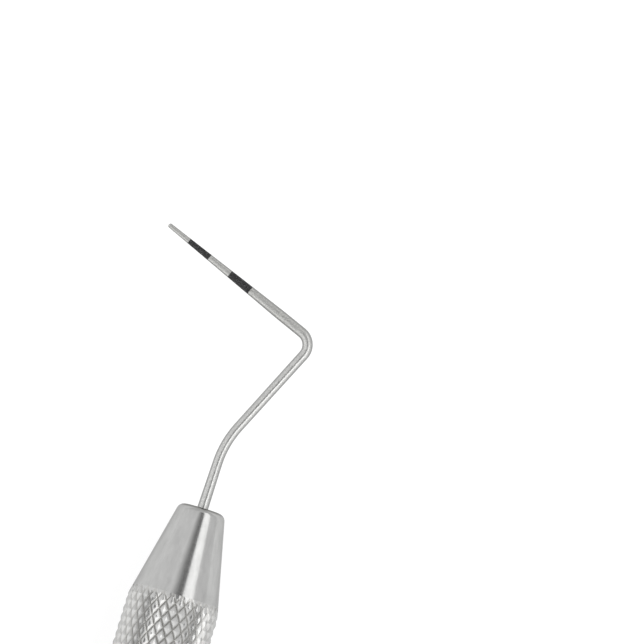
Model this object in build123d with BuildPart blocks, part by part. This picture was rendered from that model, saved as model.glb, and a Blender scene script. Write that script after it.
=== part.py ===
from build123d import *
from math import tan, radians
import os

# Periodontal probe: a straight round working end with 3-6 and 9-12 mm depth bands, on a bent shank
# that is brazed into the nose cone of a hollow knurled handle.
#
# Millimetres. +X runs along the handle's axis towards the working end, the bends lie in the XY plane
# with the tip on the +Y side, and +Z is up. The origin is on the handle's axis, midway along the front
# knurled grip. Each "station" is an X position on the handle's axis.

# ---- Handle: driving sizes -------------------------------------------------------------------------
handle_length = 135.0  # nose face to tail end
grip_diameter = 10.7  # over the knurl's crests
grip_length = 40.0  # each of the two knurled grips
knurl_depth = 0.32  # crest to root, radially
knurl_end_bevel = 0.25  # along the axis, at the grip ends that face a plain stretch
smooth_step = 0.2  # plain turned stretches below the crests, radially
tube_wall = 0.9  # crest to bore, radially
waist_length = 7.0  # plain stretch between the grips
waist_groove_count = 3
waist_groove_radius = 0.7  # of the round-bottomed grooves
waist_groove_depth = 0.35
neck_groove_offset = 1.6  # rear grip's end to the neck groove's centre
tube_end_bevel = 0.2

# ---- Nose cone -------------------------------------------------------------------------------------
nose_length = 11.75  # nose face to the front of the full knurl
nose_face_diameter = 5.36  # where the cone would meet the face without its rounded corner
nose_corner_radius = 0.9
mouth_diameter = 2.3  # counterbore round the shank root
mouth_depth = 0.8

# ---- Tail cap --------------------------------------------------------------------------------------
tail_cap_length = 5.0
tail_cap_corner_radius = 2.4
tail_cap_bevel = 0.2

# ---- Brazed spigots of both end pieces -------------------------------------------------------------
spigot_length = 6.0
spigot_clearance = 0.05  # radial, to the tube's bore
braze_groove_width = 1.0
braze_groove_depth = 0.5
braze_groove_offset = 2.0  # tube's end face to the groove's near side

# ---- Rod -------------------------------------------------------------------------------------------
tang_diameter = 1.6
tang_length = 12.0  # behind the mouth's floor
root_diameter = 1.27  # shank at the nose face
shank_diameter = 1.14  # at the shank bend
elbow_diameter = 1.19
tip_diameter = 0.52
tip_round = 0.2
taper_length = 16.5  # of the working end, from the tip
lower_run = 7.9  # nose face to the shank bend's corner
middle_run = 15.45  # shank bend's corner to the elbow's corner
working_run = 21.5  # elbow's corner to the tip
shank_lean = 1.1  # degrees, towards -Y, where the shank leaves the nose
shank_bend_turn = 24.0  # degrees, towards -Y
elbow_turn = 92.9  # degrees, towards +Y
lean_radius = 11.0  # of the centreline
shank_bend_radius = 11.5
elbow_radius = 1.8

# ---- Depth bands, as distances from the tip --------------------------------------------------------
band_spans = {"depth_band_3_6": (3.0, 6.0), "depth_band_9_12": (9.0, 12.0)}
band_recess = 0.05
braze_sink = 0.15  # shank braze below the nose face

# ---- Handle stations -------------------------------------------------------------------------------
crest_radius = grip_diameter / 2
root_radius = crest_radius - knurl_depth
bore_radius = crest_radius - tube_wall
smooth_radius = crest_radius - smooth_step
tail_cap_radius = crest_radius  # as large as the grips, so that the handle lies level
nose_face_radius = nose_face_diameter / 2

front_grip_front = grip_length / 2
front_grip_rear = front_grip_front - grip_length
rear_grip_front = front_grip_rear - waist_length
rear_grip_rear = rear_grip_front - grip_length
nose_face = front_grip_front + nose_length
tail_end = nose_face - handle_length
tube_rear = tail_end + tail_cap_length

cone_slope = (crest_radius - nose_face_radius) / nose_length
tube_front = front_grip_front + knurl_depth / cone_slope
mouth_floor = nose_face - mouth_depth

spigot_radius = bore_radius - spigot_clearance
braze_inner_radius = spigot_radius - braze_groove_depth

# ---- Rod planes: local X runs along each straight run, local Z is up --------------------------------
tang_plane = Plane(origin=(nose_face, 0, 0))
lower_plane = Plane(
    origin=tang_plane.origin,
    x_dir=tang_plane.x_dir.rotate(Axis.Z, -shank_lean),
    z_dir=(0, 0, 1),
)
middle_plane = Plane(
    origin=lower_plane.from_local_coords((lower_run, 0, 0)),
    x_dir=lower_plane.x_dir.rotate(Axis.Z, -shank_bend_turn),
    z_dir=(0, 0, 1),
)
working_plane = Plane(
    origin=middle_plane.from_local_coords((middle_run, 0, 0)),
    x_dir=middle_plane.x_dir.rotate(Axis.Z, elbow_turn),
    z_dir=(0, 0, 1),
)
lean_tangent = lean_radius * tan(radians(shank_lean / 2))
shank_bend_tangent = shank_bend_radius * tan(radians(shank_bend_turn / 2))
elbow_tangent = elbow_radius * tan(radians(elbow_turn / 2))


def taper_radius(from_tip):
    """Radius of the working end's taper at a distance from the tip."""
    share = from_tip / taper_length
    return (tip_diameter + (elbow_diameter - tip_diameter) * share) / 2


os.makedirs("parts", exist_ok=True)

# ---- Depth bands: tapered rings of black fill, flush with the working end ---------------------------
bands = {}
for band_name, (near_tip, far_from_tip) in band_spans.items():
    with BuildPart() as depth_band:
        with BuildSketch(working_plane):
            with BuildLine():
                Polyline(
                    (working_run - near_tip, taper_radius(near_tip) - band_recess),
                    (working_run - near_tip, taper_radius(near_tip)),
                    (working_run - far_from_tip, taper_radius(far_from_tip)),
                    (working_run - far_from_tip, taper_radius(far_from_tip) - band_recess),
                    close=True,
                )
            make_face()
        revolve(axis=Axis(working_plane.origin, working_plane.x_dir))
    depth_band.part.label = band_name
    bands[band_name] = depth_band.part

# ---- Rod: tang, shank and working end in one piece --------------------------------------------------
with BuildPart() as probe_rod:
    # Tang, on the handle's axis.
    with BuildSketch(tang_plane):
        with BuildLine():
            Polyline(
                (-mouth_depth - tang_length, 0),
                (-mouth_depth - tang_length, tang_diameter / 2),
                (-mouth_depth, tang_diameter / 2),
                (-mouth_depth, root_diameter / 2),
                (-lean_tangent, root_diameter / 2),
                (-lean_tangent, 0),
                close=True,
            )
        make_face()
    revolve(axis=Axis(tang_plane.origin, tang_plane.x_dir))

    # Slight bend in the mouth, from which the shank leans out of the axis.
    with BuildLine():
        lean_bend = JernArc(
            start=tang_plane.from_local_coords((-lean_tangent, 0, 0)),
            tangent=tang_plane.x_dir,
            radius=lean_radius,
            arc_size=-shank_lean,
        )
    with BuildSketch(Plane(origin=lean_bend @ 0, z_dir=lean_bend % 0)):
        Circle(root_diameter / 2)
    sweep(path=lean_bend)

    # Lower shank, slimmer towards its bend.
    with BuildSketch(lower_plane):
        with BuildLine():
            Polyline(
                (lean_tangent, 0),
                (lean_tangent, root_diameter / 2),
                (lower_run - shank_bend_tangent, shank_diameter / 2),
                (lower_run - shank_bend_tangent, 0),
                close=True,
            )
        make_face()
    revolve(axis=Axis(lower_plane.origin, lower_plane.x_dir))

    # Shank bend.
    with BuildLine():
        shank_bend = JernArc(
            start=lower_plane.from_local_coords((lower_run - shank_bend_tangent, 0, 0)),
            tangent=lower_plane.x_dir,
            radius=shank_bend_radius,
            arc_size=-shank_bend_turn,
        )
    with BuildSketch(Plane(origin=shank_bend @ 0, z_dir=shank_bend % 0)):
        Circle(shank_diameter / 2)
    sweep(path=shank_bend)

    # Middle shank, slightly thicker towards the elbow.
    with BuildSketch(middle_plane):
        with BuildLine():
            Polyline(
                (shank_bend_tangent, 0),
                (shank_bend_tangent, shank_diameter / 2),
                (middle_run - elbow_tangent, elbow_diameter / 2),
                (middle_run - elbow_tangent, 0),
                close=True,
            )
        make_face()
    revolve(axis=Axis(middle_plane.origin, middle_plane.x_dir))

    # Elbow.
    with BuildLine():
        elbow = JernArc(
            start=middle_plane.from_local_coords((middle_run - elbow_tangent, 0, 0)),
            tangent=middle_plane.x_dir,
            radius=elbow_radius,
            arc_size=elbow_turn,
        )
    with BuildSketch(Plane(origin=elbow @ 0, z_dir=elbow % 0)):
        Circle(elbow_diameter / 2)
    sweep(path=elbow)

    # Working end, tapered to a rounded tip.
    with BuildSketch(working_plane):
        with BuildLine():
            Polyline(
                (elbow_tangent, 0),
                (elbow_tangent, elbow_diameter / 2),
                (working_run - taper_length, elbow_diameter / 2),
                (working_run, tip_diameter / 2),
                (working_run, 0),
                close=True,
            )
        working_profile = make_face()
        tip_corner = working_profile.vertices().sort_by_distance(
            working_plane.from_local_coords((working_run, tip_diameter / 2, 0))
        )[0]
        fillet(tip_corner, radius=tip_round)
    revolve(axis=Axis(working_plane.origin, working_plane.x_dir))

    # Ring recesses under the black fill.
    for band in bands.values():
        add(band, mode=Mode.SUBTRACT)
probe_rod.part.label = "probe_rod"

# ---- Brazing rings of the two spigots ---------------------------------------------------------------
braze_rings = {}
for ring_name, ring_start in (
    ("nose_braze", tube_front - braze_groove_offset - braze_groove_width),
    ("tail_braze", tube_rear + braze_groove_offset),
):
    with BuildPart() as braze_ring:
        with BuildSketch(Plane.YZ.offset(ring_start)):
            Circle(bore_radius)
            Circle(braze_inner_radius, mode=Mode.SUBTRACT)
        extrude(amount=braze_groove_width)
    braze_ring.part.label = ring_name
    braze_rings[ring_name] = braze_ring.part

# ---- Nose cone: turned, drilled through, with a counterbored mouth and a brazed spigot --------------
with BuildPart() as nose_cone:
    with BuildSketch(Plane.XY):
        with BuildLine():
            Polyline(
                (tube_front - spigot_length, 0),
                (tube_front - spigot_length, spigot_radius),
                (tube_front, spigot_radius),
                (tube_front, root_radius),
                (nose_face, nose_face_radius),
                (nose_face, 0),
                close=True,
            )
        make_face()
        fillet(vertices().sort_by_distance((nose_face, nose_face_radius))[0], radius=nose_corner_radius)
    revolve(axis=Axis.X)
    with Locations(Plane(origin=(nose_face, 0, 0), z_dir=(1, 0, 0))):
        CounterBoreHole(
            radius=tang_diameter / 2,
            counter_bore_radius=mouth_diameter / 2,
            counter_bore_depth=mouth_depth,
        )
    # Groove for the brazing ring.
    add(braze_rings["nose_braze"], mode=Mode.SUBTRACT)
nose_cone.part.label = "nose_cone"

# ---- Shank braze: ring in the mouth, round the shank root -------------------------------------------
with BuildPart() as shank_braze:
    with BuildSketch(Plane.YZ.offset(mouth_floor)):
        Circle(mouth_diameter / 2)
        Circle(root_diameter / 2, mode=Mode.SUBTRACT)
    extrude(amount=mouth_depth - braze_sink)
shank_braze.part.label = "shank_braze"

# ---- Handle tube: two knurled grips at their crest size, a grooved waist and a smooth tail ----------
with BuildPart() as handle_tube:
    with BuildSketch(Plane.XY):
        with BuildLine():
            Polyline(
                (tube_front, 0),
                (tube_front, root_radius),
                (front_grip_front, crest_radius),
                (front_grip_rear + knurl_end_bevel, crest_radius),
                (front_grip_rear, smooth_radius),
                (rear_grip_front, smooth_radius),
                (rear_grip_front - knurl_end_bevel, crest_radius),
                (rear_grip_rear + knurl_end_bevel, crest_radius),
                (rear_grip_rear, smooth_radius),
                (tube_rear + tube_end_bevel, smooth_radius),
                (tube_rear, smooth_radius - tube_end_bevel),
                (tube_rear, 0),
                close=True,
            )
        make_face()
    revolve(axis=Axis.X)
    # Round-bottomed grooves of the waist, and one at the neck of the tail.
    groove_pitch = waist_length / waist_groove_count
    groove_stations = [
        front_grip_rear - groove_pitch * (index + 0.5) for index in range(waist_groove_count)
    ]
    groove_stations.append(rear_grip_rear - neck_groove_offset)
    groove_axis_radius = smooth_radius + waist_groove_radius - waist_groove_depth
    with BuildSketch(Plane.XY):
        with Locations(*[(station, groove_axis_radius) for station in groove_stations]):
            Circle(waist_groove_radius)
    revolve(axis=Axis.X, mode=Mode.SUBTRACT)
    with Locations(Plane(origin=(tube_front, 0, 0), z_dir=(1, 0, 0))):
        Hole(radius=bore_radius)
handle_tube.part.label = "handle_tube"

# ---- Tail cap: domed plug with a brazed spigot ------------------------------------------------------
with BuildPart() as tail_cap:
    with BuildSketch(Plane.XY):
        with BuildLine():
            Polyline(
                (tail_end, 0),
                (tail_end, tail_cap_radius),
                (tube_rear - tail_cap_bevel, tail_cap_radius),
                (tube_rear, tail_cap_radius - tail_cap_bevel),
                (tube_rear, spigot_radius),
                (tube_rear + spigot_length, spigot_radius),
                (tube_rear + spigot_length, 0),
                close=True,
            )
        make_face()
        fillet(
            vertices().sort_by_distance((tail_end, tail_cap_radius))[0],
            radius=tail_cap_corner_radius,
        )
    revolve(axis=Axis.X)
    # Groove for the brazing ring.
    add(braze_rings["tail_braze"], mode=Mode.SUBTRACT)
tail_cap.part.label = "tail_cap"

# ---- One STEP file per piece ------------------------------------------------------------------------
pieces = [
    probe_rod.part,
    bands["depth_band_3_6"],
    bands["depth_band_9_12"],
    nose_cone.part,
    shank_braze.part,
    braze_rings["nose_braze"],
    handle_tube.part,
    tail_cap.part,
    braze_rings["tail_braze"],
]
for piece in pieces:
    export_step(piece, f"parts/{piece.label}.step")
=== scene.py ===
import logging
import math
from collections.abc import Callable, Sequence
from dataclasses import dataclass, field
from enum import Enum

import bmesh
import bpy
import numpy as np
from mathutils import Matrix, Vector


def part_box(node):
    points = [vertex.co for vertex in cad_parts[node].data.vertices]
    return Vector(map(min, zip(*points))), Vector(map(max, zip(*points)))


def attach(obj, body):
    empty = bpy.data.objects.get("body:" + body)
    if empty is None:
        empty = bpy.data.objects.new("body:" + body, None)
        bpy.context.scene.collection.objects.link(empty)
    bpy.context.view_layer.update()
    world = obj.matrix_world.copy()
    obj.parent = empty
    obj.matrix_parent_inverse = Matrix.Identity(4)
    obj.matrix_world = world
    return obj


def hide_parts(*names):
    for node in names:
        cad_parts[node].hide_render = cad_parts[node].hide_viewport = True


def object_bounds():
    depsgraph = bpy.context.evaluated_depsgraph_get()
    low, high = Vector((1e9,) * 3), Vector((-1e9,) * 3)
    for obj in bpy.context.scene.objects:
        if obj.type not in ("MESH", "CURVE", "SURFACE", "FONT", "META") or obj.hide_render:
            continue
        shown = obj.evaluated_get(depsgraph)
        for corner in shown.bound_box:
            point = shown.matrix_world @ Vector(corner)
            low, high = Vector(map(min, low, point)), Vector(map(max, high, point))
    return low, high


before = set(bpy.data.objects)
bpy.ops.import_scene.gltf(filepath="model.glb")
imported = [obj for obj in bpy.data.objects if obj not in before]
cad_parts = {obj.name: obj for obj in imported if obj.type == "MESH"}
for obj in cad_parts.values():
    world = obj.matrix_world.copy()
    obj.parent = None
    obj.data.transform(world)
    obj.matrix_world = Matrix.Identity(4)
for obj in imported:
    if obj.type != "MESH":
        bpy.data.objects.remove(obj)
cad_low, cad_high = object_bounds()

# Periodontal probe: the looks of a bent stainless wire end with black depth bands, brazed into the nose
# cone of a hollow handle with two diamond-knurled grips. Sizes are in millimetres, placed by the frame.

log = logging.getLogger("probe")
METRES_PER_MM = 0.001
HUB_X_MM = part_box("nose_cone")[1].x / METRES_PER_MM  # nose face
MIDDLE = (0.3, 0.7)  # where most of a random pattern's values lie
FULL = (0.0, 1.0)
UNCHANGING_MM = 40.0  # a grain this long hardly changes within one piece
WELD_DECIMALS = 5  # of a millimetre, to which vertices share a place


class Slot(Enum):
    """Material slots of the record."""

    ROD = "rod_steel"
    BAND = "band_fill"
    TURNED = "turned_steel"
    BRAZE = "braze_alloy"
    KNURLED = "knurled_steel"


def linear(hex_colour: str) -> tuple[float, float, float, float]:
    """Turns an sRGB hex colour into linear RGBA.

    Args:
        hex_colour: Six hex digits, with or without a leading #.

    Returns:
        Linear red, green and blue, and an alpha of 1.
    """
    digits = hex_colour.lstrip("#")
    channels = [int(digits[i : i + 2], 16) / 255 for i in (0, 2, 4)]
    curve = [c / 12.92 if c <= 0.04045 else ((c + 0.055) / 1.055) ** 2.4 for c in channels]
    return (curve[0], curve[1], curve[2], 1.0)


def add_node(
    tree: bpy.types.NodeTree,
    kind: str,
    settings: dict[str, object] | None = None,
    values: dict[str | int, object] | None = None,
    links: dict[str | int, bpy.types.NodeSocket] | None = None,
) -> bpy.types.Node:
    """Adds a node with its settings, socket values and incoming links.

    Args:
        tree: Node tree that gets the node.
        kind: Blender's node type name.
        settings: Node properties by name.
        values: Unlinked input values by socket name or index.
        links: Output sockets to link in, by input socket name or index.

    Returns:
        The new node.
    """
    node = tree.nodes.new(kind)
    for key, value in (settings or {}).items():
        setattr(node, key, value)
    for key, value in (values or {}).items():
        node.inputs[key].default_value = value
    for key, socket in (links or {}).items():
        tree.links.new(socket, node.inputs[key])
    return node


def span(
    pattern: tuple[float, float], result: tuple[float, float]
) -> dict[str | int, object]:
    """Socket values that map one range onto another.

    Args:
        pattern: Start and end of the incoming values.
        result: What the start and the end turn into.

    Returns:
        Values for the sockets of a Map Range node.
    """
    return {"From Min": pattern[0], "From Max": pattern[1], "To Min": result[0], "To Max": result[1]}


@dataclass(frozen=True)
class Finish:
    """A surface finish on a Principled shader.

    Attributes:
        name: Plain name of the material and how its surface was made.
        colour: Its colour as sRGB hex, the lighter one where a pattern has two.
        metallic: 1 for metals, 0 for others.
        roughness: Mean roughness of the surface.
        edge_tint: Tint of a metal's reflection near grazing, as sRGB hex.
    """

    name: str
    colour: str
    metallic: float = 1.0
    roughness: float = 0.3
    edge_tint: str = "#FFFFFF"

    def material(self) -> bpy.types.Material:
        """Builds the material, or takes the one already made.

        Returns:
            The material.
        """
        made = bpy.data.materials.get(self.name)
        if made:
            return made
        made = bpy.data.materials.new(self.name)
        made.use_nodes = True
        tree = made.node_tree
        shader = tree.nodes["Principled BSDF"]
        shader.inputs["Base Color"].default_value = linear(self.colour)
        shader.inputs["Metallic"].default_value = self.metallic
        shader.inputs["Roughness"].default_value = self.roughness
        shader.inputs["Specular Tint"].default_value = linear(self.edge_tint)
        self.dress(tree, shader)
        return made

    def dress(self, tree: bpy.types.NodeTree, shader: bpy.types.Node) -> None:
        """Adds the finish's own pattern. A plain finish has none."""

    def mottle(
        self,
        tree: bpy.types.NodeTree,
        place: bpy.types.NodeSocket,
        grain_mm: Sequence[float],
        detail: float = 2.0,
    ) -> bpy.types.NodeSocket:
        """A random pattern whose grains have a real size.

        Args:
            tree: Material's node tree.
            place: Place on the surface, in metres.
            grain_mm: Grain length along each axis of the place, in millimetres.
            detail: Number of finer layers in the pattern.

        Returns:
            The pattern's value, from 0 to 1.
        """
        scaled = add_node(
            tree,
            "ShaderNodeVectorMath",
            {"operation": "MULTIPLY"},
            {1: [1 / (METRES_PER_MM * size) for size in grain_mm]},
            {0: place},
        )
        pattern = add_node(
            tree,
            "ShaderNodeTexNoise",
            values={"Scale": 1.0, "Detail": detail, "Roughness": 0.6},
            links={"Vector": scaled.outputs[0]},
        )
        return pattern.outputs["Fac"]

    def relief(
        self,
        tree: bpy.types.NodeTree,
        shader: bpy.types.Node,
        layers: Sequence[tuple[bpy.types.NodeSocket, float]],
    ) -> None:
        """Chains bumps into the shader's normal.

        Args:
            tree: Material's node tree.
            shader: The Principled shader.
            layers: Height patterns, each with its depth in millimetres.
        """
        below = None
        for height, depth_mm in layers:
            bump = add_node(
                tree,
                "ShaderNodeBump",
                values={"Strength": 1.0, "Distance": depth_mm * METRES_PER_MM},
                links={"Height": height},
            )
            if below:
                tree.links.new(below.outputs["Normal"], bump.inputs["Normal"])
            below = bump
        if below:
            tree.links.new(below.outputs["Normal"], shader.inputs["Normal"])


@dataclass(frozen=True)
class SatinWireSteel(Finish):
    """Drawn martensitic stainless wire, belt ground to a satin.

    The eye gets soft light bands with a fine lengthwise grain, painted shade on the flanks and tip, and a
    duller working end.
    Distances along the wire run from the start of its lean in the nose.
    """

    dark_tone: str = "#A2A2A1"
    # painted shade: the flanks and the rounded tip are drawn in this greyer tone
    flank_shade_tone: str = "#868685"
    flank_shade_span: tuple[float, float] = (0.6, 0.92)  # share of the way from the top to the side, over which the painted shade comes in
    grain_mm: tuple[float, float, float] = (0.7, 0.08, 0.08)  # coarser than real grit marks, to show
    grain_depth_mm: float = 0.003
    gloss_swing: float = 0.06  # of the roughness, along the grain
    speck_mm: float = 0.13
    speck_depth_mm: float = 0.005
    matt_tone: str = "#F2F2F1"  # multiplied in on the working end
    matt_roughness: float = 0.46
    matt_mm: tuple[float, float] = (21.5, 25.5)  # along the wire, from satin to fully matt

    def dress(self, tree: bpy.types.NodeTree, shader: bpy.types.Node) -> None:
        """Adds the grinding grain, specks of tone, painted shade on the flanks and the tip, and the matt
        working end.

        Args:
            tree: Material's node tree.
            shader: The Principled shader.
        """
        place = add_node(
            tree, "ShaderNodeAttribute", {"attribute_name": "straight_place"}
        ).outputs["Vector"]
        grain = self.mottle(tree, place, self.grain_mm, 3.0)
        specks = self.mottle(tree, place, (self.speck_mm,) * 3)
        speck_share = add_node(
            tree, "ShaderNodeMapRange", values=span(MIDDLE, FULL), links={"Value": specks}
        )
        tone = add_node(
            tree,
            "ShaderNodeMix",
            {"data_type": "RGBA"},
            {"A": linear(self.dark_tone), "B": linear(self.colour)},
            {"Factor": speck_share.outputs["Result"]},
        )
        # painted shade: the side attribute greys the wire's flanks and its rounded tip
        side = add_node(tree, "ShaderNodeAttribute", {"attribute_name": "side"}).outputs["Fac"]
        flank_shade_share = add_node(
            tree, "ShaderNodeMapRange", values=span(self.flank_shade_span, FULL), links={"Value": side}
        )
        flank = add_node(
            tree,
            "ShaderNodeMix",
            {"data_type": "RGBA"},
            {"B": linear(self.flank_shade_tone)},
            {"Factor": flank_shade_share.outputs["Result"], "A": tone.outputs["Result"]},
        )
        along = add_node(tree, "ShaderNodeSeparateXYZ", links={0: place}).outputs["X"]
        start, full = (edge * METRES_PER_MM for edge in self.matt_mm)
        matt = add_node(
            tree,
            "ShaderNodeMapRange",
            {"interpolation_type": "SMOOTHSTEP"},
            span((start, full), FULL),
            {"Value": along},
        ).outputs["Result"]
        dulled = add_node(
            tree,
            "ShaderNodeMix",
            {"data_type": "RGBA", "blend_type": "MULTIPLY"},
            {"B": linear(self.matt_tone)},
            {"Factor": matt, "A": flank.outputs["Result"]},
        )
        tree.links.new(dulled.outputs["Result"], shader.inputs["Base Color"])
        base_gloss = add_node(
            tree,
            "ShaderNodeMapRange",
            values=span(FULL, (self.roughness, self.matt_roughness)),
            links={"Value": matt},
        )
        streaks = add_node(
            tree,
            "ShaderNodeMapRange",
            values=span(MIDDLE, (-self.gloss_swing, self.gloss_swing)),
            links={"Value": grain},
        )
        gloss = add_node(
            tree,
            "ShaderNodeMath",
            {"operation": "ADD"},
            links={0: base_gloss.outputs["Result"], 1: streaks.outputs["Result"]},
        )
        tree.links.new(gloss.outputs[0], shader.inputs["Roughness"])
        self.relief(tree, shader, ((grain, self.grain_depth_mm), (specks, self.speck_depth_mm)))


@dataclass(frozen=True)
class TurnedSteel(Finish):
    """Austenitic stainless bar, turned and buffed.

    The eye gets a bright skin with faint rings round the axis, which smear reflections lengthwise, slow
    ripples from the buff, and a painted shade that darkens the rim round the nose face.
    """

    dark_tone: str = "#AFAFAE"
    ring_mm: float = 0.12  # coarser than the real feed marks, so that they show
    ring_depth_mm: float = 0.0008
    ripple_mm: float = 1.1  # round the axis, and three times as long along it
    ripple_depth_mm: float = 0.003
    end_ring_mm: float = 0.35  # on flat ends, coarser again, because they are small and seen from afar
    end_normal: tuple[float, float] = (0.75, 0.97)  # axial share of the normal, from flank to flat end
    pit_mm: float = 0.16
    pit_depth_mm: float = 0.001
    gloss_span: tuple[float, float] = (-0.03, 0.05)  # added to the roughness across the rings
    anisotropy: float = 0.5
    # painted shade: the rim round the nose face is drawn dark grey, in place of the darker reflection
    # there
    rim_shade_tone: str = "#6A6966"
    rim_shade_mm: tuple[float, float] = (0.34, 0.34 / 6)  # painted shade, behind the nose face, from none to full
    rim_shade_radii_mm: tuple[float, float] = (1.5, 1.9)  # the flat face inside these gets no painted shade

    def dress(self, tree: bpy.types.NodeTree, shader: bpy.types.Node) -> None:
        """Adds turning rings, ripples, small blemishes and the painted shade on the rim round the nose
        face.

        Args:
            tree: Material's node tree.
            shader: The Principled shader.
        """
        place = add_node(tree, "ShaderNodeTexCoord").outputs["Object"]
        split = add_node(tree, "ShaderNodeSeparateXYZ", links={0: place})
        spoke = add_node(
            tree, "ShaderNodeCombineXYZ", links={"Y": split.outputs["Y"], "Z": split.outputs["Z"]}
        )
        radius = add_node(
            tree, "ShaderNodeVectorMath", {"operation": "LENGTH"}, links={0: spoke.outputs[0]}
        ).outputs["Value"]
        turned = add_node(
            tree, "ShaderNodeCombineXYZ", links={"X": split.outputs["X"], "Y": radius}
        ).outputs[0]
        rings = self.mottle(tree, turned, (self.ring_mm, self.ring_mm, 1.0))
        ripple = self.mottle(tree, place, (self.ripple_mm * 3, self.ripple_mm, self.ripple_mm), 3.0)
        end_rings = self.mottle(tree, turned, (UNCHANGING_MM, self.end_ring_mm, 1.0), 1.0)
        worked = add_node(
            tree,
            "ShaderNodeMix",
            links={"Factor": self.flat_end(tree), "A": ripple, "B": end_rings},
        ).outputs["Result"]
        pits = self.mottle(tree, place, (self.pit_mm,) * 3)
        worked_share = add_node(
            tree, "ShaderNodeMapRange", values=span(MIDDLE, FULL), links={"Value": worked}
        )
        tone = add_node(
            tree,
            "ShaderNodeMix",
            {"data_type": "RGBA"},
            {"A": linear(self.dark_tone), "B": linear(self.colour)},
            {"Factor": worked_share.outputs["Result"]},
        )
        # painted shade darkens the rim round the nose face
        rim_shaded = add_node(
            tree,
            "ShaderNodeMix",
            {"data_type": "RGBA"},
            {"B": linear(self.rim_shade_tone)},
            {"Factor": self.rim_shade(tree, split.outputs["X"], radius), "A": tone.outputs["Result"]},
        )
        tree.links.new(rim_shaded.outputs["Result"], shader.inputs["Base Color"])
        low, high = (self.roughness + change for change in self.gloss_span)
        gloss = add_node(
            tree, "ShaderNodeMapRange", values=span(MIDDLE, (low, high)), links={"Value": rings}
        )
        tree.links.new(gloss.outputs["Result"], shader.inputs["Roughness"])
        shader.inputs["Anisotropic"].default_value = self.anisotropy
        tangent = add_node(tree, "ShaderNodeTangent", {"direction_type": "RADIAL", "axis": "X"})
        tree.links.new(tangent.outputs["Tangent"], shader.inputs["Tangent"])
        layers = (
            (rings, self.ring_depth_mm),
            (worked, self.ripple_depth_mm),
            (pits, self.pit_depth_mm),
        )
        self.relief(tree, shader, layers)

    def flat_end(self, tree: bpy.types.NodeTree) -> bpy.types.NodeSocket:
        """Mask of the ends that were faced off across the axis.

        Args:
            tree: Material's node tree.

        Returns:
            0 on the flanks to 1 on the flat ends.
        """
        normal = add_node(tree, "ShaderNodeTexCoord").outputs["Normal"]
        axial = add_node(tree, "ShaderNodeSeparateXYZ", links={0: normal}).outputs["X"]
        facing = add_node(tree, "ShaderNodeMath", {"operation": "ABSOLUTE"}, links={0: axial})
        mask = add_node(
            tree,
            "ShaderNodeMapRange",
            values=span(self.end_normal, FULL),
            links={"Value": facing.outputs[0]},
        )
        return mask.outputs["Result"]

    def rim_shade(
        self, tree: bpy.types.NodeTree, station: bpy.types.NodeSocket, radius: bpy.types.NodeSocket
    ) -> bpy.types.NodeSocket:
        """Mask of the painted shade on the rim round the nose face.

        Args:
            tree: Material's node tree.
            station: Place along the axis, in metres.
            radius: Distance from the axis, in metres.

        Returns:
            0 on clean steel to 1 on the rim.
        """
        behind = tuple((HUB_X_MM - reach) * METRES_PER_MM for reach in self.rim_shade_mm)
        outside = tuple(reach * METRES_PER_MM for reach in self.rim_shade_radii_mm)
        shares = [
            add_node(tree, "ShaderNodeMapRange", values=span(edges, FULL), links={"Value": value})
            for edges, value in ((behind, station), (outside, radius))
        ]
        rim = add_node(
            tree,
            "ShaderNodeMath",
            {"operation": "MULTIPLY"},
            links={index: share.outputs["Result"] for index, share in enumerate(shares)},
        )
        return rim.outputs[0]


@dataclass(frozen=True)
class KnurledSteel(Finish):
    """The same bar with a cut knurl.

    The eye gets burnished crests, and duller valleys drawn darker grey as painted shade.
    """

    # painted shade: the knurl's valleys are drawn in this darker tone
    valley_shade_tone: str = "#B2B1AE"
    valley_gloss: float = 0.16  # added to the roughness in the valleys
    tear_mm: float = 0.15
    tear_depth_mm: float = 0.012
    tear_share: float = 0.5  # how much the torn grain breaks up the crests' edges
    tone_span: tuple[float, float] = (0.2, 0.75)  # torn height, from the valley's painted shade to the crest's tone
    gloss_span: tuple[float, float] = (0.3, 1.1)  # torn height, from dull to burnished

    def dress(self, tree: bpy.types.NodeTree, shader: bpy.types.Node) -> None:
        """Adds brighter crests, dull valleys drawn darker as painted shade, and the torn grain of the cut
        flanks.

        Args:
            tree: Material's node tree.
            shader: The Principled shader.
        """
        place = add_node(tree, "ShaderNodeTexCoord").outputs["Object"]
        crest = add_node(tree, "ShaderNodeAttribute", {"attribute_name": "crest"}).outputs["Fac"]
        tear = self.mottle(tree, place, (self.tear_mm,) * 3, 3.0)
        uneven = add_node(
            tree,
            "ShaderNodeMath",
            {"operation": "MULTIPLY_ADD"},
            {1: self.tear_share},
            {0: tear, 2: crest},
        ).outputs[0]
        crest_share = add_node(
            tree, "ShaderNodeMapRange", values=span(self.tone_span, FULL), links={"Value": uneven}
        )
        # painted shade: darker tone in the valleys, the steel's own tone on the crests
        tone = add_node(
            tree,
            "ShaderNodeMix",
            {"data_type": "RGBA"},
            {"A": linear(self.valley_shade_tone), "B": linear(self.colour)},
            {"Factor": crest_share.outputs["Result"]},
        )
        tree.links.new(tone.outputs["Result"], shader.inputs["Base Color"])
        gloss = add_node(
            tree,
            "ShaderNodeMapRange",
            values=span(self.gloss_span, (self.roughness + self.valley_gloss, self.roughness)),
            links={"Value": uneven},
        )
        tree.links.new(gloss.outputs["Result"], shader.inputs["Roughness"])
        self.relief(tree, shader, ((tear, self.tear_depth_mm),))


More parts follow.
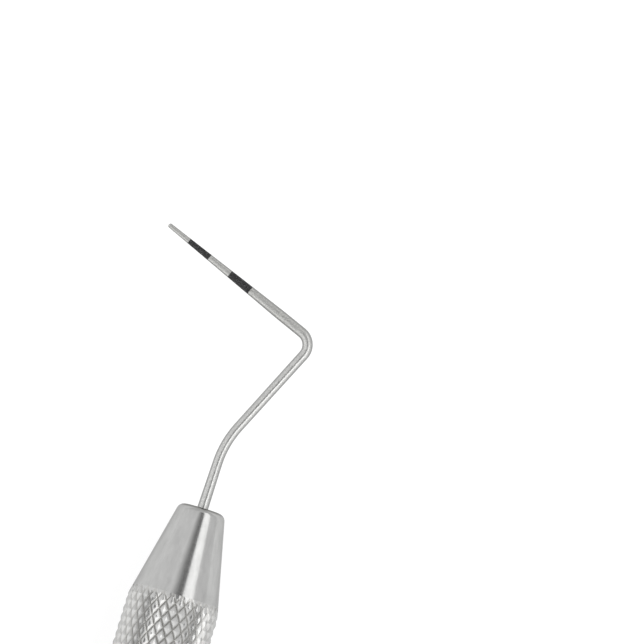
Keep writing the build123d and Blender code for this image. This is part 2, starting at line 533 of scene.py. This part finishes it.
@dataclass(frozen=True)
class BlackFill(Finish):
    """Fired black filler, wiped flush.

    The eye gets matte charcoal with pale pinholes and small worn spots.
    """

    pinhole_tone: str = "#88888A"
    pinhole_mm: float = 0.09
    pinhole_depth_mm: float = 0.01
    pinhole_span: tuple[float, float] = (0.55, 0.75)  # pattern value, from black to the palest pinhole
    specular: float = 0.3

    def dress(self, tree: bpy.types.NodeTree, shader: bpy.types.Node) -> None:
        """Adds the pinholes.

        Args:
            tree: Material's node tree.
            shader: The Principled shader.
        """
        place = add_node(
            tree, "ShaderNodeAttribute", {"attribute_name": "straight_place"}
        ).outputs["Vector"]
        pinholes = self.mottle(tree, place, (self.pinhole_mm,) * 3, 3.0)
        share = add_node(
            tree, "ShaderNodeMapRange", values=span(self.pinhole_span, FULL), links={"Value": pinholes}
        )
        tone = add_node(
            tree,
            "ShaderNodeMix",
            {"data_type": "RGBA"},
            {"A": linear(self.colour), "B": linear(self.pinhole_tone)},
            {"Factor": share.outputs["Result"]},
        )
        tree.links.new(tone.outputs["Result"], shader.inputs["Base Color"])
        shader.inputs["Specular IOR Level"].default_value = self.specular
        self.relief(tree, shader, ((pinholes, self.pinhole_depth_mm),))


@dataclass(frozen=True)
class SilverBraze(Finish):
    """Silver brazing alloy, frozen from a melt.

    The eye gets a dull, slightly yellow metal with a soft wrinkled skin.
    """

    wrinkle_mm: float = 0.25
    wrinkle_depth_mm: float = 0.02
    gloss_swing: float = 0.1  # of the roughness, across the wrinkles

    def dress(self, tree: bpy.types.NodeTree, shader: bpy.types.Node) -> None:
        """Adds the wrinkles of the frozen skin.

        Args:
            tree: Material's node tree.
            shader: The Principled shader.
        """
        place = add_node(tree, "ShaderNodeTexCoord").outputs["Object"]
        wrinkles = self.mottle(tree, place, (self.wrinkle_mm,) * 3, 3.0)
        swing = self.gloss_swing
        gloss = add_node(
            tree,
            "ShaderNodeMapRange",
            values=span(MIDDLE, (self.roughness - swing, self.roughness + swing)),
            links={"Value": wrinkles},
        )
        tree.links.new(gloss.outputs["Result"], shader.inputs["Roughness"])
        self.relief(tree, shader, ((wrinkles, self.wrinkle_depth_mm),))


WIRE = SatinWireSteel("satin_ground_stainless_wire", "#D2D2D0", roughness=0.27)
TURNED = TurnedSteel("turned_and_buffed_stainless", "#BCBCBB", roughness=0.15, edge_tint="#D2D2D2")
KNURLED = KnurledSteel("knurled_stainless", "#BCBCBB", roughness=0.2, edge_tint="#D2D2D2")
FILL = BlackFill("black_band_filler", "#19191A", metallic=0.0, roughness=0.6)
BRAZE = SilverBraze("silver_brazing_alloy", "#8F8A80", roughness=0.42)


def face_outwards(mesh: bpy.types.Mesh) -> None:
    """Turns the faces of a closed mesh outwards.

    Args:
        mesh: Closed mesh, wound one way throughout.
    """
    shell = bmesh.new()
    shell.from_mesh(mesh)
    if shell.calc_volume(signed=True) < 0:
        mesh.flip_normals()
    shell.free()


def make_object(
    name: str,
    vertices_mm: np.ndarray,
    faces: Sequence[Sequence[int]],
    finish: Finish,
    sharp_degrees: float = 28.0,
) -> bpy.types.Object:
    """Makes a mesh object with smooth faces and sharp edges.

    Args:
        name: Object name.
        vertices_mm: Vertex places, in millimetres in the frame's axes.
        faces: Vertex numbers of each face.
        finish: Finish of the whole piece.
        sharp_degrees: Edges that bend more than this stay sharp.

    Returns:
        The new object.
    """
    mesh = bpy.data.meshes.new(name)
    mesh.from_pydata((vertices_mm * METRES_PER_MM).tolist(), [], faces)
    mesh.validate()
    mesh.update()
    face_outwards(mesh)
    mesh.polygons.foreach_set("use_smooth", [True] * len(mesh.polygons))
    mesh.set_sharp_from_angle(angle=math.radians(sharp_degrees))
    mesh.materials.append(finish.material())
    piece = bpy.data.objects.new(name, mesh)
    bpy.context.scene.collection.objects.link(piece)
    return piece


def stand_for(piece: bpy.types.Object, node: str) -> None:
    """Puts a piece in the place of a CAD node.

    Args:
        piece: Detailed piece.
        node: CAD node that it replaces.
    """
    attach(piece, "root")
    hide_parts(node)
    log.info("%s: %d faces, stands for %s", piece.name, len(piece.data.polygons), node)


def ring_faces(rings: int, around: int, closed: bool) -> list[tuple[int, ...]]:
    """Quads between neighbouring rings of vertices.

    Args:
        rings: Number of rings, each with the same number of vertices.
        around: Vertices in a ring.
        closed: Whether the last ring joins the first.

    Returns:
        Vertex numbers of each quad.
    """
    faces = []
    for ring in range(rings if closed else rings - 1):
        near = ring * around
        far = (ring + 1) % rings * around
        for side in range(around):
            after = (side + 1) % around
            faces.append((near + side, near + after, far + after, far + side))
    return faces


def weld(
    vertices_mm: np.ndarray, faces: Sequence[Sequence[int]]
) -> tuple[np.ndarray, list[tuple[int, ...]], np.ndarray]:
    """Joins vertices that share a place, and drops the faces that this flattens.

    Args:
        vertices_mm: Vertex places, in millimetres.
        faces: Vertex numbers of each face.

    Returns:
        The places that stay, the faces, and the old number of each vertex that stays.
    """
    _, stays, joined = np.unique(
        np.round(vertices_mm, WELD_DECIMALS), axis=0, return_index=True, return_inverse=True
    )
    number = joined.ravel().tolist()
    corners = [tuple(dict.fromkeys(number[vertex] for vertex in face)) for face in faces]
    return vertices_mm[stays], [face for face in corners if len(face) > 2], stays


def arc_points(
    centre: tuple[float, float], radius: float, start: float, end: float, steps: int
) -> list[tuple[float, float]]:
    """Points on an arc of a turned profile.

    Args:
        centre: Axial station and radius of the arc's centre.
        radius: Arc radius.
        start: First angle in degrees from the +X axis.
        end: Last angle in degrees.
        steps: Number of steps.

    Returns:
        Stations and radii along the arc, both ends included.
    """
    return [
        (centre[0] + radius * math.cos(angle), centre[1] + radius * math.sin(angle))
        for angle in np.radians(np.linspace(start, end, steps + 1))
    ]


def lathe(
    name: str, profile: Sequence[tuple[float, float]], finish: Finish, around: int = 192
) -> bpy.types.Object:
    """Turns a profile about the handle's axis.

    Args:
        name: Object name.
        profile: Stations and radii in order. If both ends are on the axis the solid is capped there, or
            else the last point joins the first.
        finish: Finish of the piece.
        around: Vertices in a ring.

    Returns:
        The turned piece.
    """
    on_axis = profile[0][1] == 0 and profile[-1][1] == 0
    rings = profile[1:-1] if on_axis else profile
    angles = np.linspace(0, 2 * math.pi, around, endpoint=False)
    vertices = [
        (station, radius * math.cos(angle), radius * math.sin(angle))
        for station, radius in rings
        for angle in angles
    ]
    faces = ring_faces(len(rings), around, closed=not on_axis)
    if on_axis:
        first, last = len(vertices), len(vertices) + 1
        vertices += [(profile[0][0], 0, 0), (profile[-1][0], 0, 0)]
        end = (len(rings) - 1) * around
        for side in range(around):
            after = (side + 1) % around
            faces.append((first, after, side))
            faces.append((last, end + side, end + after))
    return make_object(name, np.array(vertices, float), faces, finish)


@dataclass(frozen=True)
class Spigot:
    """Plug behind the nose cone and the tail cap that seats in the tube."""

    radius: float = 4.4
    length: float = 6.0


@dataclass
class Rod:
    """The bent wire: tang, shank, elbow and tapered working end, with its two depth bands.

    Distances run along the centreline from the start of the shank's slight lean in the nose's mouth. The
    bands' distances run back from the tip.
    """

    tang_radius: float = 0.8
    tang_length: float = 12.0
    mouth_depth: float = 0.8
    root_radius: float = 0.635
    shank_radius: float = 0.57
    elbow_wire_radius: float = 0.595
    tip_radius: float = 0.26
    tip_round: float = 0.2
    taper_length: float = 16.5
    runs: tuple[float, float, float] = (7.9, 15.45, 21.5)
    bend_radii: tuple[float, float, float] = (11.0, 11.5, 1.8)  # lean at the nose, shank bend, elbow
    turns: tuple[float, float, float] = (-1.1, -24.0, 92.9)
    band_recess: float = 0.05
    bands: dict[str, tuple[float, float]] = field(
        default_factory=lambda: {"depth_band_3_6": (3.0, 6.0), "depth_band_9_12": (9.0, 12.0)}
    )
    around: int = 40
    ring_step: float = 0.6  # between rings of a straight run
    bend_step_degrees: float = 3.0  # between rings of a bend
    edge_gap: float = 0.05  # no other ring is nearer to a band's edge
    band_rings: int = 13
    tip_rings: int = 9
    tip_degrees: float = 80.0  # where the rounded edge meets the flat of the tip

    def tangents(self) -> list[float]:
        """Length that each bend takes from the runs beside it.

        Returns:
            The lengths, in order from the nose.
        """
        return [
            radius * math.tan(math.radians(abs(turn) / 2))
            for radius, turn in zip(self.bend_radii, self.turns)
        ]

    def stretches(self) -> list[tuple[float, float]]:
        """Bends and straight runs of the centreline.

        Returns:
            Length and turn in radians of each, in order from the mouth.
        """
        takes = [*self.tangents(), 0.0]
        stretches = []
        for index, run in enumerate(self.runs):
            radius, turn = self.bend_radii[index], math.radians(self.turns[index])
            stretches.append((radius * abs(turn), turn))
            stretches.append((run - takes[index] - takes[index + 1], 0.0))
        return stretches

    def length(self) -> float:
        """Centreline length from the start of the lean to the tip."""
        return sum(length for length, _ in self.stretches())

    def place(self, distance: float) -> tuple[np.ndarray, np.ndarray]:
        """Point and direction of the centreline.

        Args:
            distance: Distance from the start of the lean, negative inside the nose.

        Returns:
            The point, in millimetres, and the unit direction towards the tip.
        """
        point = np.array([HUB_X_MM - self.tangents()[0], 0.0])
        heading = 0.0
        left = distance
        for length, turn in self.stretches():
            step = min(left, length)
            if turn == 0 or distance < 0:
                point = point + step * np.array([math.cos(heading), math.sin(heading)])
            else:
                radius = length / turn
                after = heading + step / radius
                sweep = np.array(
                    [math.sin(after) - math.sin(heading), math.cos(heading) - math.cos(after)]
                )
                point = point + radius * sweep
                heading = after
            left -= step
            if left <= 0:
                break
        return np.array([*point, 0.0]), np.array([math.cos(heading), math.sin(heading), 0.0])

    def radius(self, distance: float) -> float:
        """Wire radius, without the band recesses.

        Args:
            distance: Distance along the centreline.

        Returns:
            The radius there.
        """
        ends = np.cumsum([length for length, _ in self.stretches()])
        stations = (*ends[:4], self.length() - self.taper_length, self.length())
        radii = (
            self.root_radius,
            self.shank_radius,
            self.shank_radius,
            self.elbow_wire_radius,
            self.elbow_wire_radius,
            self.tip_radius,
        )
        return float(np.interp(distance, stations, radii))

    def outline(self) -> list[tuple[float, float]]:
        """Rings of the wire, from the tang's end to the tip.

        Returns:
            Distance and radius of each ring.
        """
        total = self.length()
        floor = self.tangents()[0] - self.mouth_depth
        tang = [
            (floor - self.tang_length, self.tang_radius),
            (floor, self.tang_radius),
            (floor, self.root_radius),
        ]
        recess_edges = [total - edge for band in self.bands.values() for edge in band]
        ends = np.cumsum([0.0] + [length for length, _ in self.stretches()])
        plain = {0.0}
        for start, end, (length, turn) in zip(ends, ends[1:], self.stretches()):
            bend_steps = round(abs(math.degrees(turn)) / self.bend_step_degrees)
            steps = max(2, bend_steps, round(length / self.ring_step))
            plain.update(np.linspace(start, end, steps + 1)[1:])
        rings = []
        for distance in sorted(d for d in plain if d < total - self.tip_round):
            near_edge = any(abs(distance - edge) < self.edge_gap for edge in recess_edges)
            inside = any(total - far < distance < total - near for near, far in self.bands.values())
            if not near_edge:
                rings.append((distance, self.radius(distance) - self.band_recess * inside))
        for near, far in self.bands.values():
            for edge, outer_first in ((total - far, True), (total - near, False)):
                surface = self.radius(edge)
                pair = [(edge, surface), (edge, surface - self.band_recess)]
                rings += pair if outer_first else pair[::-1]
        rings.sort(key=lambda ring: ring[0])
        corner = (total - self.tip_round, self.tip_radius - self.tip_round)
        tip = arc_points(corner, self.tip_round, 90, 90 - self.tip_degrees, self.tip_rings - 1)
        return tang + rings + tip

    def skin(
        self, name: str, rings: Sequence[tuple[float, float]], closed: bool, finish: Finish
    ) -> bpy.types.Object:
        """Skins rings along the centreline.

        Args:
            name: Object name.
            rings: Distance and radius of each ring.
            closed: Whether the last ring joins the first, as on a sleeve, or both ends are capped.
            finish: Finish of the piece.

        Returns:
            The piece. Attributes hold each vertex's place on the straightened wire, and how far it is to
            the side of the bend plane, from 0 on top to 1 on the flank and on the rounded tip.
        """
        angles = np.linspace(0, 2 * math.pi, self.around, endpoint=False)
        vertices, straight = [], []
        for distance, radius in rings:
            centre, ahead = self.place(distance)
            side = np.array([-ahead[1], ahead[0], 0.0])
            for angle in angles:
                across, rise = radius * math.cos(angle), radius * math.sin(angle)
                vertices.append(centre + across * side + np.array([0, 0, rise]))
                straight.append((distance, across, rise))
        faces = ring_faces(len(rings), self.around, closed)
        if not closed:
            faces.append(tuple(range(self.around))[::-1])
            last = (len(rings) - 1) * self.around
            faces.append(tuple(range(last, last + self.around)))
        piece = make_object(name, np.array(vertices), faces, finish)
        place = piece.data.attributes.new("straight_place", "FLOAT_VECTOR", "POINT")
        place.data.foreach_set("vector", (np.array(straight) * METRES_PER_MM).ravel())
        # the side attribute places the wire's painted shade, on the flanks and on the rounded tip
        distances = np.repeat([distance for distance, _ in rings], self.around)
        tip_shade_share = np.clip((distances - self.length()) / self.tip_round + 1, 0, 1)
        flank = np.tile(np.abs(np.cos(angles)), len(rings))
        side = piece.data.attributes.new("side", "FLOAT", "POINT")
        side.data.foreach_set("value", np.maximum(flank, tip_shade_share))
        return piece

    def build(self) -> None:
        """Builds the wire and its depth bands."""
        wire = self.skin("satin_probe_rod", self.outline(), False, WIRE)
        stand_for(wire, "probe_rod")
        total = self.length()
        for name, (near, far) in self.bands.items():
            distances = np.linspace(total - far, total - near, self.band_rings)
            outer = [(d, self.radius(d)) for d in distances]
            inner = [(d, self.radius(d) - self.band_recess) for d in distances[::-1]]
            band = self.skin(f"black_{name}", outer + inner, True, FILL)
            stand_for(band, name)


@dataclass
class Nose:
    """Turned nose cone with its counterbored mouth, and the braze round the rod's root."""

    rod: Rod
    spigot: Spigot
    face_radius: float = 2.68
    corner_radius: float = 0.9
    mouth_radius: float = 1.15
    mouth_bevel: float = 0.08
    base_radius: float = 5.03
    braze_sink: float = 0.15
    meniscus: float = 0.12  # how far the braze sags between the rod and the mouth
    corner_steps: int = 14
    flank_rings: int = 24
    around: int = 256
    braze_points: int = 9
    braze_around: int = 96

    def build(self, tube_front: float) -> None:
        """Builds the cone and the braze.

        Args:
            tube_front: Station of the tube's front end, where the cone's base seats.
        """
        face = HUB_X_MM
        mouth_floor = face - self.rod.mouth_depth
        slope = math.degrees(math.atan2(self.base_radius - self.face_radius, face - tube_front))
        setback = self.corner_radius * math.tan(math.radians(90 - slope) / 2)
        centre = (face - self.corner_radius, self.face_radius - setback)
        corner = arc_points(centre, self.corner_radius, 0, 90 - slope, self.corner_steps)
        flank = np.linspace(corner[-1], (tube_front, self.base_radius), self.flank_rings + 1)[1:]
        spigot_end = tube_front - self.spigot.length
        profile = [
            (mouth_floor, self.rod.tang_radius),
            (mouth_floor, self.mouth_radius),
            (face - self.mouth_bevel, self.mouth_radius),
            (face, self.mouth_radius + self.mouth_bevel),
            (face, (self.mouth_radius + centre[1]) / 2),
            *corner,
            *(tuple(point) for point in flank),
            (tube_front, self.spigot.radius),
            (spigot_end, self.spigot.radius),
            (spigot_end, self.rod.tang_radius),
        ]
        cone = lathe("turned_nose_cone", profile, TURNED, self.around)
        stand_for(cone, "nose_cone")
        self.build_braze(face - self.braze_sink, mouth_floor)

    def build_braze(self, surface: float, floor: float) -> None:
        """Builds the ring of braze in the mouth.

        Args:
            surface: Station of its surface at the rod and at the mouth's wall.
            floor: Station of the mouth's floor.
        """
        inner, outer = self.rod.root_radius, self.mouth_radius
        middle, half = (inner + outer) / 2, (outer - inner) / 2
        sag = [
            (surface - self.meniscus * (1 - ((radius - middle) / half) ** 2), radius)
            for radius in np.linspace(inner, outer, self.braze_points)
        ]
        braze = lathe(
            "shank_braze_fillet", [(floor, inner), *sag, (floor, outer)], BRAZE, self.braze_around
        )
        stand_for(braze, "shank_braze")


@dataclass
class Handle:
    """Hollow handle tube with two knurled grips, a grooved waist, a smooth tail and a tail cap."""

    spigot: Spigot
    crest_radius: float = 5.35
    knurl_depth: float = 0.32
    smooth_radius: float = 5.15
    bore_radius: float = 4.45
    grip_length: float = 40.0
    waist_length: float = 7.0
    knurl_end_bevel: float = 0.25
    tube_end_bevel: float = 0.2
    groove_radius: float = 0.7
    groove_depth: float = 0.35
    waist_grooves: int = 3
    neck_groove_offset: float = 1.6
    cap_corner_radius: float = 2.4
    cap_bevel: float = 0.2
    starts: int = 29  # teeth of the knurl round the handle
    helix_degrees: float = 30.0
    samples: int = 8  # mesh steps across one groove spacing, an even number
    crest_round: float = 1.4  # above 1 rounds the burnished tops of the teeth
    groove_steps: int = 8
    cap_steps: int = 18

    def knurl_period(self) -> float:
        """Axial distance between grooves of one hand."""
        return 2 * math.pi * self.crest_radius / self.starts / math.tan(math.radians(self.helix_degrees))

    def knurl(self, steps: np.ndarray, angle_steps: np.ndarray) -> np.ndarray:
        """Share of the knurl's height left by two crossing sets of V grooves.

        Args:
            steps: Axial place in mesh steps from the grip's start.
            angle_steps: Place round the axis in mesh steps.

        Returns:
            0 in the grooves to 1 on the crests, one row for each axial step.
        """
        right = (angle_steps[None, :] + steps[:, None]) / self.samples
        left = (angle_steps[None, :] - steps[:, None]) / self.samples
        heights = [1 - np.abs(2 * (phase % 1) - 1) for phase in (right, left)]
        return 1 - (1 - np.minimum(*heights)) ** self.crest_round

    def grip_rows(
        self, start: float, end: float, limit: Callable[[float], float]
    ) -> tuple[list[float], np.ndarray, np.ndarray]:
        """Rings of a knurled grip.

        Args:
            start: Front station.
            end: Rear station.
            limit: Largest radius at a station, which bevels the knurl's ends.

        Returns:
            Stations, radii by ring and vertex, and knurl heights by ring and vertex.
        """
        step = self.knurl_period() / self.samples
        count = int((start - end) / step)
        steps = np.append(np.arange(count + 1), (start - end) / step)
        stations = [start - s * step for s in steps]
        height = self.knurl(steps, np.arange(self.starts * self.samples))
        radii = self.crest_radius - self.knurl_depth * (1 - height)
        caps = np.array([limit(station) for station in stations])[:, None]
        return stations, np.minimum(radii, caps), height

    def groove(self, station: float) -> list[tuple[float, float]]:
        """Profile of a round-bottomed groove.

        Args:
            station: Its middle.

        Returns:
            Stations and radii, front to rear.
        """
        centre = (station, self.smooth_radius + self.groove_radius - self.groove_depth)
        half = math.degrees(math.acos(1 - self.groove_depth / self.groove_radius))
        return arc_points(centre, self.groove_radius, half - 90, -half - 90, self.groove_steps)

    def build_tube(self, front: float, full_front: float, rear: float) -> None:
        """Builds the tube as one closed mesh.

        Args:
            front: Station of the front end, at the knurl's root.
            full_front: Station where the knurl reaches its full height.
            rear: Station of the rear end.
        """
        around = self.starts * self.samples
        root = self.crest_radius - self.knurl_depth
        bevel_slope = (self.crest_radius - self.smooth_radius) / self.knurl_end_bevel
        grip_rear = full_front - self.grip_length
        second_front = grip_rear - self.waist_length
        second_rear = second_front - self.grip_length

        def front_limit(station: float) -> float:
            """Largest radius of the front grip.

            Args:
                station: Place along the axis.

            Returns:
                The radius, which follows the cone's taper at the front and a bevel at the rear.
            """
            taper = root + self.knurl_depth * (front - station) / (front - full_front)
            bevel = self.smooth_radius + bevel_slope * (station - grip_rear)
            return min(taper, bevel, self.crest_radius)

        def second_limit(station: float) -> float:
            """Largest radius of the rear grip.

            Args:
                station: Place along the axis.

            Returns:
                The radius, with a bevel at both ends.
            """
            reach = min(second_front - station, station - second_rear)
            return min(self.smooth_radius + bevel_slope * reach, self.crest_radius)

        rows: list[tuple[float, np.ndarray, np.ndarray]] = []
        plain = np.ones(around)

        def add_plain(points: Sequence[tuple[float, float]]) -> None:
            """Adds rings of a plain turned stretch.

            Args:
                points: Station and radius of each ring.
            """
            rows.extend((station, plain * radius, plain) for station, radius in points)

        rows.extend(zip(*self.grip_rows(front, grip_rear, front_limit)))
        first_grip_rows = len(rows)
        pitch = self.waist_length / self.waist_grooves
        add_plain([(grip_rear, self.smooth_radius)])
        for index in range(self.waist_grooves):
            add_plain(self.groove(grip_rear - pitch * (index + 0.5)))
        add_plain([(second_front, self.smooth_radius)])
        second_start = len(rows)
        rows.extend(zip(*self.grip_rows(second_front, second_rear, second_limit)))
        second_end = len(rows)
        add_plain([(second_rear, self.smooth_radius)])
        add_plain(self.groove(second_rear - self.neck_groove_offset))
        add_plain(
            [
                (rear + self.tube_end_bevel, self.smooth_radius),
                (rear, self.smooth_radius - self.tube_end_bevel),
                (rear, self.bore_radius),
                (front, self.bore_radius),
            ]
        )
        angles = 2 * math.pi * np.arange(around) / around
        across, up = np.cos(angles), np.sin(angles)
        rings = [(plain * station, radii * across, radii * up) for station, radii, _ in rows]
        vertices = np.concatenate([np.column_stack(ring) for ring in rings])
        faces = []
        for quad_index, quad in enumerate(ring_faces(len(rows), around, closed=True)):
            row, side = divmod(quad_index, around)
            if row < first_grip_rows - 1:
                faces += self.split(quad, row, side)
            elif second_start <= row < second_end - 1:
                faces += self.split(quad, row - second_start, side)
            else:
                faces.append(quad)
        heights = np.concatenate([height for _, _, height in rows])
        vertices, faces, stays = weld(vertices, faces)
        tube = make_object("knurled_handle_tube", vertices, faces, KNURLED)
        crest = tube.data.attributes.new("crest", "FLOAT", "POINT")
        crest.data.foreach_set("value", heights[stays])
        stand_for(tube, "handle_tube")

    def split(self, quad: tuple[int, ...], row: int, side: int) -> list[tuple[int, ...]]:
        """Splits a knurl quad along the groove that crosses it, so that grooves stay crisp.

        Args:
            quad: Its vertices: near side, near after, far after, far side.
            row: Axial mesh step of its near edge.
            side: Mesh step round the axis of its first edge.

        Returns:
            Two triangles.
        """
        near_side, near_after, far_after, far_side = quad
        if (row + side + 1) % self.samples == 0:
            return [(near_side, near_after, far_side), (near_after, far_after, far_side)]
        return [(near_side, near_after, far_after), (near_side, far_after, far_side)]

    def build_cap(self, tube_rear: float, end: float) -> None:
        """Builds the tail cap.

        Args:
            tube_rear: Station of the tube's rear end, where the cap seats.
            end: Station of the tail end.
        """
        corner = (end + self.cap_corner_radius, self.crest_radius - self.cap_corner_radius)
        profile = [(end, 0.0), (end, corner[1] / 2)]
        profile += arc_points(corner, self.cap_corner_radius, 180, 90, self.cap_steps)
        profile += [
            (tube_rear - self.cap_bevel, self.crest_radius),
            (tube_rear, self.crest_radius - self.cap_bevel),
            (tube_rear, self.spigot.radius),
            (tube_rear + self.spigot.length, self.spigot.radius),
            (tube_rear + self.spigot.length, 0.0),
        ]
        cap = lathe("turned_tail_cap", profile, TURNED)
        stand_for(cap, "tail_cap")

    def build(self) -> None:
        """Builds the tube and its cap where the frame has them."""
        tube_low, tube_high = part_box("handle_tube")
        cap_low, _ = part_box("tail_cap")
        front = tube_high.x / METRES_PER_MM
        rear = tube_low.x / METRES_PER_MM
        self.build_tube(front, self.grip_length / 2, rear)
        self.build_cap(rear, cap_low.x / METRES_PER_MM)


def dress_hidden_rings() -> None:
    """Gives the two brazing rings inside the handle their alloy; their CAD shape is right."""
    for node in ("nose_braze", "tail_braze"):
        for material_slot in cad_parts[node].material_slots:
            material_slot.material = BRAZE.material()
        log.info("%s: kept, dressed as brazing alloy", node)


@dataclass
class Studio:
    """Pale floor, a light tent, a strip softbox along the handle, and a dark gap between the two.

    Its lengths are in metres, unless a name says otherwise.
    """

    tent_radiance: float = 1.17
    tent_slope: float = 0.44  # the tent darkens towards tent_dark_side
    tent_dark_side: tuple[float, float, float] = (0.98, -0.2, 0.0)
    table_radiance: float = 0.8
    table_colour: str = "#8C8C8C"
    table_roughness: float = 0.9
    table_reach: float = 4.0  # from the middle to each edge
    strip_radiance: float = 0.91
    strip_degrees: tuple[float, float] = (18.5, 49.0)  # from the vertical, towards -Y
    strip_height: float = 1.0
    strip_span: tuple[float, float] = (-1.2, 1.6)  # its ends along X
    gap_height: float = 0.75
    gap_length: float = 1.6
    gap_centre_x: float = 0.05
    gap_left_degrees: float = 22.0  # from the vertical, towards +Y
    gap_radiance: float = 0.22
    gap_fade_from: float = 0.5  # share of the way from the middle to the strip, where it starts to fade
    view_distance: float = 0.6
    view_tilt_degrees: float = 5.0  # towards the handle's tail
    view_roll_degrees: float = 16.9
    view_width: float = 0.0737  # across the picture, at the object
    target_mm: tuple[float, float] = (24.43, -6.82)  # from the nose face
    sensor_mm: float = 36.0

    def build_floor(self) -> None:
        """Large light table just under the handle, lit from below so that shadows nearly vanish."""
        mesh = bpy.data.meshes.new("floor")
        corners = [
            (self.table_reach * x, self.table_reach * y, cad_low.z)
            for x, y in ((-1, -1), (1, -1), (1, 1), (-1, 1))
        ]
        mesh.from_pydata(corners, [], [(0, 1, 2, 3)])
        floor = bpy.data.objects.new("floor", mesh)
        bpy.context.scene.collection.objects.link(floor)
        acrylic = Finish("backlit_white_acrylic", self.table_colour, 0.0, self.table_roughness)
        material = acrylic.material()
        shader = material.node_tree.nodes["Principled BSDF"]
        shader.inputs["Emission Color"].default_value = (1, 1, 1, 1)
        shader.inputs["Emission Strength"].default_value = self.table_radiance
        shader.inputs["Specular IOR Level"].default_value = 0.0
        mesh.materials.append(material)

    def build_tent(self) -> None:
        """White surroundings that darken gently towards one side."""
        world = bpy.data.worlds.new("tent")
        bpy.context.scene.world = world
        world.use_nodes = True
        tree = world.node_tree
        background = tree.nodes["Background"]
        background.inputs["Color"].default_value = (1, 1, 1, 1)
        direction = add_node(tree, "ShaderNodeTexCoord").outputs["Generated"]
        facing = add_node(
            tree,
            "ShaderNodeVectorMath",
            {"operation": "DOT_PRODUCT"},
            {1: self.tent_dark_side},
            {0: direction},
        )
        shade = add_node(
            tree,
            "ShaderNodeMath",
            {"operation": "MULTIPLY_ADD"},
            {1: -self.tent_slope, 2: self.tent_radiance},
            {0: facing.outputs["Value"]},
        )
        tree.links.new(shade.outputs[0], background.inputs["Strength"])

    def add_area(
        self, name: str, place: Vector, aim: Vector, size: tuple[float, float], radiance: float
    ) -> bpy.types.Object:
        """Adds a rectangular softbox whose long side runs along the handle.

        Args:
            name: Light name.
            place: Its centre.
            aim: Point that it faces.
            size: Length along X and width, in metres.
            radiance: Radiance of its face.

        Returns:
            The light's object.
        """
        light = bpy.data.lights.new(name, "AREA")
        light.shape = "RECTANGLE"
        light.size, light.size_y = size
        light.energy = radiance * math.pi * size[0] * size[1]
        lamp = bpy.data.objects.new(name, light)
        bpy.context.scene.collection.objects.link(lamp)
        back = (place - aim).normalized()
        along = Vector((1, 0, 0))
        across = back.cross(along).normalized()
        turn = Matrix((along, across, back)).transposed().to_4x4()
        lamp.matrix_world = Matrix.Translation(place) @ turn
        return lamp

    def build_lights(self) -> None:
        """Strip softbox to the -Y side."""
        near, far = (math.radians(angle) for angle in self.strip_degrees)
        middle = (near + far) / 2
        reach = self.strip_height
        width = 2 * reach * math.tan((far - near) / 2)
        start, end = self.strip_span
        aim = Vector(((start + end) / 2, 0, 0))
        place = aim + reach * Vector((0, -math.sin(middle), math.cos(middle)))
        self.add_area("strip_softbox", place, aim, (end - start, width), self.strip_radiance)

    def build_gap(self) -> None:
        """Dark gap between the softboxes, fading out on its +Y side."""
        right, left = (
            math.tan(math.radians(angle)) * self.gap_height
            for angle in (-self.strip_degrees[0], self.gap_left_degrees)
        )
        start, end = (self.gap_centre_x + side * self.gap_length / 2 for side in (-1, 1))
        mesh = bpy.data.meshes.new("camera_gap")
        corners = [
            (x, y, self.gap_height) for x, y in ((start, right), (end, right), (end, left), (start, left))
        ]
        mesh.from_pydata(corners, [], [(0, 1, 2, 3)])
        card = bpy.data.objects.new("camera_gap", mesh)
        bpy.context.scene.collection.objects.link(card)
        material = bpy.data.materials.new("camera_gap_cloth")
        material.use_nodes = True
        tree = material.node_tree
        tree.nodes.clear()
        place = add_node(tree, "ShaderNodeTexCoord").outputs["Object"]
        split = add_node(tree, "ShaderNodeSeparateXYZ", links={0: place})
        shade = add_node(
            tree,
            "ShaderNodeMapRange",
            {"interpolation_type": "SMOOTHSTEP"},
            span((right * self.gap_fade_from, left), (self.gap_radiance, self.tent_radiance)),
            {"Value": split.outputs["Y"]},
        )
        glow = add_node(tree, "ShaderNodeEmission", links={"Strength": shade.outputs["Result"]})
        add_node(tree, "ShaderNodeOutputMaterial", links={"Surface": glow.outputs[0]})
        mesh.materials.append(material)
        card.visible_camera = False

    def build_camera(self) -> None:
        """Long lens above the rod, tilted towards the tail and rolled so that the handle leans right."""
        data = bpy.data.cameras.new("camera")
        data.sensor_width = self.sensor_mm
        data.lens = self.sensor_mm * self.view_distance / self.view_width
        camera = bpy.data.objects.new("camera", data)
        bpy.context.scene.collection.objects.link(camera)
        target = Vector((HUB_X_MM + self.target_mm[0], self.target_mm[1], 0)) * METRES_PER_MM
        tilt = math.radians(self.view_tilt_degrees)
        roll = math.radians(self.view_roll_degrees)
        back = Vector((-math.sin(tilt), 0, math.cos(tilt)))
        rough_up = Vector((math.cos(roll), math.sin(roll), 0))
        up = (rough_up - rough_up.dot(back) * back).normalized()
        right = up.cross(back)
        turn = Matrix((right, up, back)).transposed().to_4x4()
        camera.matrix_world = Matrix.Translation(target + back * self.view_distance) @ turn
        bpy.context.scene.camera = camera

    def build(self) -> None:
        """Sets up the floor, the lights and the camera."""
        bpy.context.scene.view_settings.view_transform = "Standard"
        self.build_floor()
        self.build_tent()
        self.build_lights()
        self.build_gap()
        self.build_camera()
        log.info("studio: floor, tent, strip, gap and camera")


def main() -> None:
    """Builds the probe and the studio in order."""
    logging.basicConfig(level=logging.INFO, format="%(message)s")
    tube_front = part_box("handle_tube")[1].x / METRES_PER_MM
    rod = Rod()
    rod.build()
    spigot = Spigot()
    Nose(rod, spigot).build(tube_front)
    Handle(spigot).build()
    dress_hidden_rings()
    Studio().build()


if __name__ == "__main__":
    main()
